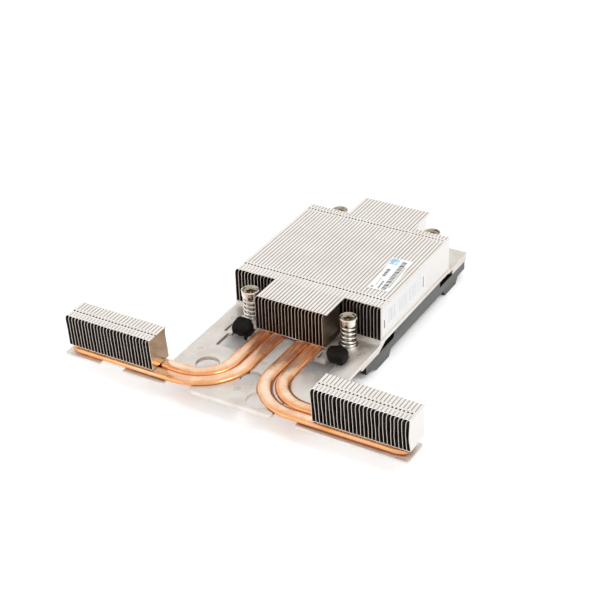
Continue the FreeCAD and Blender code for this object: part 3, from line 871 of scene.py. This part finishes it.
def build_fins():
    main = {"pitch": FIN_PITCH, "top": FIN_TOP, "notches": MAIN_NOTCHES, "step": 6.0, "wave": 0.12}
    wing = {"count": WING_FINS, "y0": WING_FRONT_Y, "y1": WING_REAR_Y, **main}
    centre_x = FIRST_FIN_X + WING_FINS * FIN_PITCH
    right_x = centre_x + CENTRE_FINS * FIN_PITCH
    fin_stack("fins_left_wing", FIRST_FIN_X, **wing)
    fin_stack("fins_centre", centre_x, CENTRE_FINS, y0=CENTRE_FRONT_Y, y1=CENTRE_REAR_Y, **main)
    fin_stack("fins_right_wing", right_x, end_plate=True, **wing)

    remote = {"count": REMOTE_FINS, "pitch": REMOTE_PITCH, "top": REMOTE_TOP, "y0": REMOTE_FRONT_Y,
              "y1": REMOTE_REAR_Y, "notches": REMOTE_NOTCHES, "step": 2.2, "end_plate": True}
    width = (REMOTE_FINS - 1) * REMOTE_PITCH + FIN_T
    fin_stack("fins_remote_left", -REMOTE_NEAR_X - width, wave=0.26, bend=lean, lift=0.3, **remote)
    fin_stack("fins_remote_right", REMOTE_NEAR_X, wave=0.42, bend=bulge, lift=1.3, **remote)


# Heat pipes


def pipe_line(side, x, y, bend_r):
    """Points and directions along a pipe's middle line, from its root to its tip."""
    line = []
    straight = PIPE_ROOT_Y - (y + bend_r)
    steps = round(straight / PIPE_STEP)
    for i in range(steps + 1):
        point = Vector((side * x, PIPE_ROOT_Y - straight * i / steps, PIPE_Z))
        line.append((point, Vector((0, -1, 0))))
    steps = round(math.pi / 2 * bend_r / PIPE_STEP)
    for i in range(1, steps + 1):
        a = math.pi / 2 * i / steps
        point = Vector((side * (x + bend_r * (1 - math.cos(a))),
                        y + bend_r * (1 - math.sin(a)), PIPE_Z))
        line.append((point, Vector((side * math.sin(a), -math.cos(a), 0))))
    straight = PIPE_TIP_X - (x + bend_r)
    steps = round(straight / PIPE_STEP)
    for i in range(1, steps + 1):
        point = Vector((side * (x + bend_r + straight * i / steps), y, PIPE_Z))
        line.append((point, Vector((side, 0, 0))))
    return line


def domed(reach, wave):
    """A half width at a sine or cosine, fuller at the corners than an ellipse."""
    return reach * math.copysign(abs(wave) ** (2 / PIPE_ROUNDNESS), wave)


def heat_pipe(name, side, x, y, bend_r):
    """A flattened copper pipe with slightly uneven walls and pinched, rounded ends."""
    line = pipe_line(side, x, y, bend_r)
    seed = Vector((side * x, y, bend_r))
    rings = []
    for k, (point, ahead) in enumerate(line):
        from_end = min(k, len(line) - 1 - k) * PIPE_STEP
        full = min(from_end / NOSE_L, 1.0) ** NOSE_CURVE
        width = NOSE_W + (PIPE_W - NOSE_W) * full
        thick = NOSE_T + (PIPE_T - NOSE_T) * full
        across = Vector((-ahead.y, ahead.x, 0))
        ring = []
        for a in angles(PIPE_SIDES):
            out = across * domed(width / 2, math.cos(a))
            out += Vector((0, 0, domed(thick / 2, math.sin(a))))
            spot = point + out
            dent = DENT * (noise.noise(spot * DENT_WAVES + seed) - 1)
            ring.append(spot + out.normalized() * dent)
        rings.append(ring)
    obj = tube(name + "_copper", rings, ROUND_SMOOTH)
    place(obj, BODY, PIPE_COPPER, [name])


def build_pipes():
    heat_pipe("heat_pipe_left_outer", -1, OUTER_PIPE_X, OUTER_PIPE_Y, OUTER_BEND_R)
    heat_pipe("heat_pipe_left_inner", -1, INNER_PIPE_X, INNER_PIPE_Y, LEFT_INNER_BEND_R)
    heat_pipe("heat_pipe_right_outer", 1, OUTER_PIPE_X, OUTER_PIPE_Y, OUTER_BEND_R)
    heat_pipe("heat_pipe_right_inner", 1, INNER_PIPE_X, INNER_PIPE_Y, RIGHT_INNER_BEND_R)


# Springs and screws


def build_spring(corner, x, y):
    """A round-wire compression spring with flat end turns."""
    steps = round(SPRING_TURNS * STEPS_PER_TURN)
    low = SPRING_FOOT + SPRING_WIRE / 2
    rise = SPRING_H - SPRING_WIRE
    rising = SPRING_TURNS - 2 * SPRING_FLAT
    rings = []
    for k in range(steps + 1):
        turn = SPRING_TURNS * k / steps
        a = math.radians(SPRING_STARTS[corner]) - 2 * math.pi * turn
        z = low + rise * clamped((turn - SPRING_FLAT) / rising)
        from_end = min(k, steps - k) / STEPS_PER_TURN
        wire = SPRING_WIRE / 2 * (WIRE_TIP + (1 - WIRE_TIP) * min(from_end / WIRE_TAPER, 1.0))
        ring = []
        for b in angles(WIRE_SIDES):
            r = SPRING_R + wire * math.cos(b)
            ring.append((x + r * math.cos(a), y + r * math.sin(a), z + wire * math.sin(b)))
        rings.append(ring)
    obj = tube("spring_wire_" + corner, rings, ROUND_SMOOTH)
    place(obj, BODY, SPRING, ["spring_" + corner])
    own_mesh(obj)


def thread_rings(neck_foot):
    """The screw's tip, thread rings and neck, from the tip up."""
    rings = [(NECK_R, neck_foot, 0)]
    z = neck_foot - 0.05
    while z > SCREW_TIP + 1.1:
        rings += [(THREAD_R, z, 0), (THREAD_R, z - 0.12, 0)]
        rings += [(THREAD_CORE_R, z - 0.35, 0), (THREAD_CORE_R, z - 0.45, 0)]
        z -= THREAD_PITCH
    rings += [(1.9, z, 0), (1.4, SCREW_TIP + 0.1, 0), (TIP_R, SCREW_TIP, 0), (AXIS_R, SCREW_TIP, 0)]
    return rings[::-1]


def head_rings():
    """The screw's head from its foot up, over the rim and down into the cup and its socket."""
    cup = HEAD_TOP - CUP_DEPTH
    return [
        (SHOULDER_R, HEAD_FOOT, 0), (3.95, HEAD_FOOT, 0), (4.12, HEAD_FOOT + 0.15, 0),
        (4.2, HEAD_FOOT + 0.9, 0), (4.42, HEAD_FOOT + 1.05, 0), (4.5, HEAD_FOOT + 2.6, 0),
        (4.5, HEAD_FOOT + 3.0, 0), (4.62, HEAD_FOOT + 3.15, 0), (4.72, HEAD_TOP - 0.35, 0),
        (4.66, HEAD_TOP - 0.08, 0), (4.5, HEAD_TOP, 0), (4.12, HEAD_TOP, 0),
        (3.95, HEAD_TOP - 0.1, 0), (3.8, HEAD_TOP - 0.4, 0), (3.5, cup + 0.12, 0),
        (3.1, cup, 0), (2.72, cup, 0), (2.66, cup - 0.08, 0.30), (2.6, cup - 0.3, 0.30),
        (2.5, cup - 1.75, 0.30), (2.2, cup - 1.88, 0.2), (AXIS_R, cup - 1.9, 0),
    ]


def build_screw(corner, x, y):
    """A captive screw, turned: a thread, a neck, a shoulder and a cupped head with a lobed socket.

    Each ring of its profile is a radius, a height and how deep its lobes are."""
    shoulder_foot = PAD_Z + RING_PLAY
    shoulder = [(NECK_R, shoulder_foot, 0), (SHOULDER_R, shoulder_foot, 0)]
    rings = []
    for r, z, lobes in thread_rings(RING_FOOT - RING_PLAY) + shoulder + head_rings():
        ring = []
        for a in angles(SCREW_SIDES):
            reach = r * (1 - lobes * (0.5 - 0.5 * math.cos(6 * a)))
            ring.append((x + reach * math.cos(a), y + reach * math.sin(a), z))
        rings.append(ring)
    obj = tube("screw_turned_" + corner, rings, SCREW_SMOOTH)
    place(obj, "fastener_" + corner, SCREW, ["screw_" + corner])


# Pieces that keep the CAD's form, post caps and labels


def dressed(node):
    """A copy of a node's solid with broken edges, so that they catch the light."""
    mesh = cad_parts[node].data.copy()
    bm = bmesh.new()
    bm.from_mesh(mesh)
    bmesh.ops.remove_doubles(bm, verts=bm.verts, dist=MERGE_GAP * MM)
    bmesh.ops.dissolve_limit(bm, angle_limit=math.radians(FLAT_ANGLE), verts=bm.verts,
                             edges=bm.edges)
    bm.to_mesh(mesh)
    bm.free()
    obj = link(node + "_finished", mesh)
    bevel = obj.modifiers.new("edges", "BEVEL")
    bevel.width = EDGE_W[node.split("_")[0]] * MM
    bevel.segments = EDGE_SEGMENTS
    bevel.limit_method = "ANGLE"
    bevel.angle_limit = math.radians(EDGE_ANGLE)
    bevel.harden_normals = False
    bpy.context.view_layer.update()
    evaluated = obj.evaluated_get(bpy.context.evaluated_depsgraph_get())
    final = bpy.data.meshes.new_from_object(evaluated)
    obj.modifiers.clear()
    obj.data = final
    shade(final, EDGE_ANGLE)
    return obj


def build_plain_nodes():
    """The solids whose form is right as it is get their edges broken and their finish."""
    place(dressed("base_plate"), BODY, CAST, ["base_plate"])
    place(dressed("under_frame"), BODY, PLASTIC, ["under_frame"])
    place(dressed("cold_plate"), BODY, BLOCK_COPPER, ["cold_plate"])
    for side in ("left", "right"):
        node = "tray_" + side
        place(dressed(node), BODY, CAST, [node])
    for corner in CORNERS:
        node = "washer_" + corner
        place(dressed(node), BODY, SPRING, [node])
        node = "ring_" + corner
        place(dressed(node), "carrier_" + corner, SPRING, [node])


def build_post_caps():
    """The rough, lumpy caps of the two posts, as uneven rings round each post's head."""
    foot = CAP_RINGS[0][1]
    height = CAP_RINGS[-1][1] - foot
    for name, (x, lobe, lump) in POSTS.items():
        rings = []
        for r, z in CAP_RINGS:
            swell_share = min(r / 4.0, 1.0)
            lump_share = min(r / 3.0, 1.0) * (z - foot) / height
            ring = []
            for a in angles(CAP_SIDES):
                swell = 0.42 * math.cos(3 * a + lobe) + 0.25 * math.cos(5 * a - lobe)
                reach = r * (1 + 0.05 * swell) + 0.62 * swell * swell_share
                rise = lump * lump_share * max(math.cos(a - LUMP_ANGLE), 0.0) ** 2
                ring.append((x + reach * math.cos(a), POST_Y + reach * math.sin(a), z + rise))
            rings.append(ring)
        obj = tube("post_cap_" + name, rings, ROUND_SMOOTH)
        place(obj, BODY, PLASTIC)


def build_labels():
    for node, fields in (("label_top", top_label_fields), ("label_side", side_label_fields)):
        material = paper(node + "_paper", fields)
        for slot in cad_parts[node].material_slots:
            slot.material = material


# Stage

FLOOR_SIZE = 6000.0
FLOOR_GAP = 0.1
FLOOR_BOUNCE = (0.75, 0.75, 0.75)
FLOOR_TONE = (0.985, 0.99, 1.0)
FLOOR_GLOW = 0.20
WORLD_STRENGTH = 0.90
# Under the plate the floor's glow is taken away as a painted shadow, between the two middle limits in
# Y and inside the first limit in X, with soft borders. A ramp takes only 0 to 1, so Y is shifted
# first.
SHADE_Y = (-88.0, -50.0, 50.0, 58.0)
SHADE_X = (36.0, 41.0)
SHADE_SHIFT = 200.0


def stage_light(name, position, target, size, energy, colour=(1, 1, 1)):
    lamp = bpy.data.lights.new(name, "AREA")
    lamp.shape = "DISK"
    lamp.size = size * MM
    lamp.energy = energy
    lamp.color = colour
    obj = link(name, lamp)
    obj.location = Vector(position) * MM
    obj.rotation_euler = (Vector(target) - Vector(position)).to_track_quat("-Z", "Y").to_euler()


def seen_or_mirrored(nodes, links):
    """1 for camera, glossy and transmission rays, else 0."""
    path = nodes.new("ShaderNodeLightPath")
    total = path.outputs["Is Camera Ray"]
    for key in ("Is Glossy Ray", "Is Transmission Ray"):
        joined = nodes.new("ShaderNodeMath")
        joined.operation = "MAXIMUM"
        links.new(total, joined.inputs[0])
        links.new(path.outputs[key], joined.inputs[1])
        total = joined.outputs["Value"]
    return total


def floor_finish():
    """A white floor that looks brighter than the light it throws back on the object, with a painted
    shadow under the plate, where its glow is taken away.
    """
    f = Finish("floor_white")
    x, y = f.axes("XY")
    stops = [(SHADE_SHIFT + limit) * MM for limit in SHADE_Y]
    along = f.ramp(f.math("ADD", y, SHADE_SHIFT * MM), list(zip(stops, (0.0, 1.0, 1.0, 0.0))))
    across = f.ramp(f.math("ABSOLUTE", x), [(SHADE_X[0] * MM, 1.0), (SHADE_X[1] * MM, 0.0)])
    # Painted shadow: under is the mask where the floor's glow is taken away under the plate.
    under = f.product(along, across)
    nodes, links = f.tree.nodes, f.tree.links
    nodes.remove(f.shader)
    bounce = nodes.new("ShaderNodeBsdfDiffuse")
    bounce.inputs["Color"].default_value = (*FLOOR_BOUNCE, 1)
    tone = nodes.new("ShaderNodeBsdfDiffuse")
    tone.inputs["Color"].default_value = (*FLOOR_TONE, 1)
    glow = nodes.new("ShaderNodeEmission")
    f.feed(f.math("MULTIPLY_ADD", under, -FLOOR_GLOW, FLOOR_GLOW), glow.inputs["Strength"])
    both = nodes.new("ShaderNodeAddShader")
    links.new(tone.outputs[0], both.inputs[0])
    links.new(glow.outputs[0], both.inputs[1])
    pick = nodes.new("ShaderNodeMixShader")
    links.new(seen_or_mirrored(nodes, links), pick.inputs[0])
    links.new(bounce.outputs[0], pick.inputs[1])
    links.new(both.outputs[0], pick.inputs[2])
    links.new(pick.outputs[0], nodes["Material Output"].inputs["Surface"])
    return f.material


def build_floor():
    floor_z = (GROUND_Z - FLOOR_GAP) * MM
    bpy.ops.mesh.primitive_plane_add(size=FLOOR_SIZE * MM, location=(0, 0, floor_z))
    floor = bpy.context.object
    floor.name = "floor"
    floor.data.materials.append(floor_finish())


def build_world():
    """A white studio, a little dimmer as a light than as a backdrop."""
    world = bpy.data.worlds.new("studio")
    bpy.context.scene.world = world
    world.use_nodes = True
    nodes, links = world.node_tree.nodes, world.node_tree.links
    background = nodes["Background"]
    background.inputs["Color"].default_value = (1, 1, 1, 1)
    strength = nodes.new("ShaderNodeMapRange")
    links.new(seen_or_mirrored(nodes, links), strength.inputs["Value"])
    strength.inputs["To Min"].default_value = WORLD_STRENGTH
    strength.inputs["To Max"].default_value = 1.0
    links.new(strength.outputs["Result"], background.inputs["Strength"])


def build_lights():
    stage_light("key", (550, -150, 750), (0, -20, 0), 400, 2.0, (1.0, 0.985, 0.96))
    stage_light("fill", (-500, -600, 500), (0, -40, 0), 600, 0.8)


def build_camera():
    azimuth = math.radians(CAMERA_AZIMUTH)
    elevation = math.radians(CAMERA_ELEVATION)
    roll = math.radians(CAMERA_ROLL)
    back = Vector((math.sin(azimuth) * math.cos(elevation),
                   -math.cos(azimuth) * math.cos(elevation), math.sin(elevation)))
    right = Vector((math.cos(azimuth), math.sin(azimuth), 0))
    up = back.cross(right)
    right_rolled = right * math.cos(roll) + up * math.sin(roll)
    up_rolled = up * math.cos(roll) - right * math.sin(roll)
    data = bpy.data.cameras.new("camera")
    data.sensor_fit = "HORIZONTAL"
    data.sensor_width = SENSOR_MM
    data.lens = FOCAL_PX / IMAGE_PX * SENSOR_MM
    data.clip_start = CAMERA_CLIP * MM
    camera = link("camera", data)
    turn = Matrix((right_rolled, up_rolled, back)).transposed().to_4x4()
    place_at = (Vector(CAMERA_TARGET) + back * CAMERA_DISTANCE) * MM
    camera.matrix_world = Matrix.Translation(place_at) @ turn
    bpy.context.scene.camera = camera


build_camera()
build_floor()
build_world()
build_lights()
build_fins()
build_pipes()
build_plain_nodes()
build_labels()
build_post_caps()
for corner_name, (corner_x, corner_y) in CORNERS.items():
    build_spring(corner_name, corner_x, corner_y)
    build_screw(corner_name, corner_x, corner_y)

bpy.context.scene.view_settings.view_transform = "Standard"
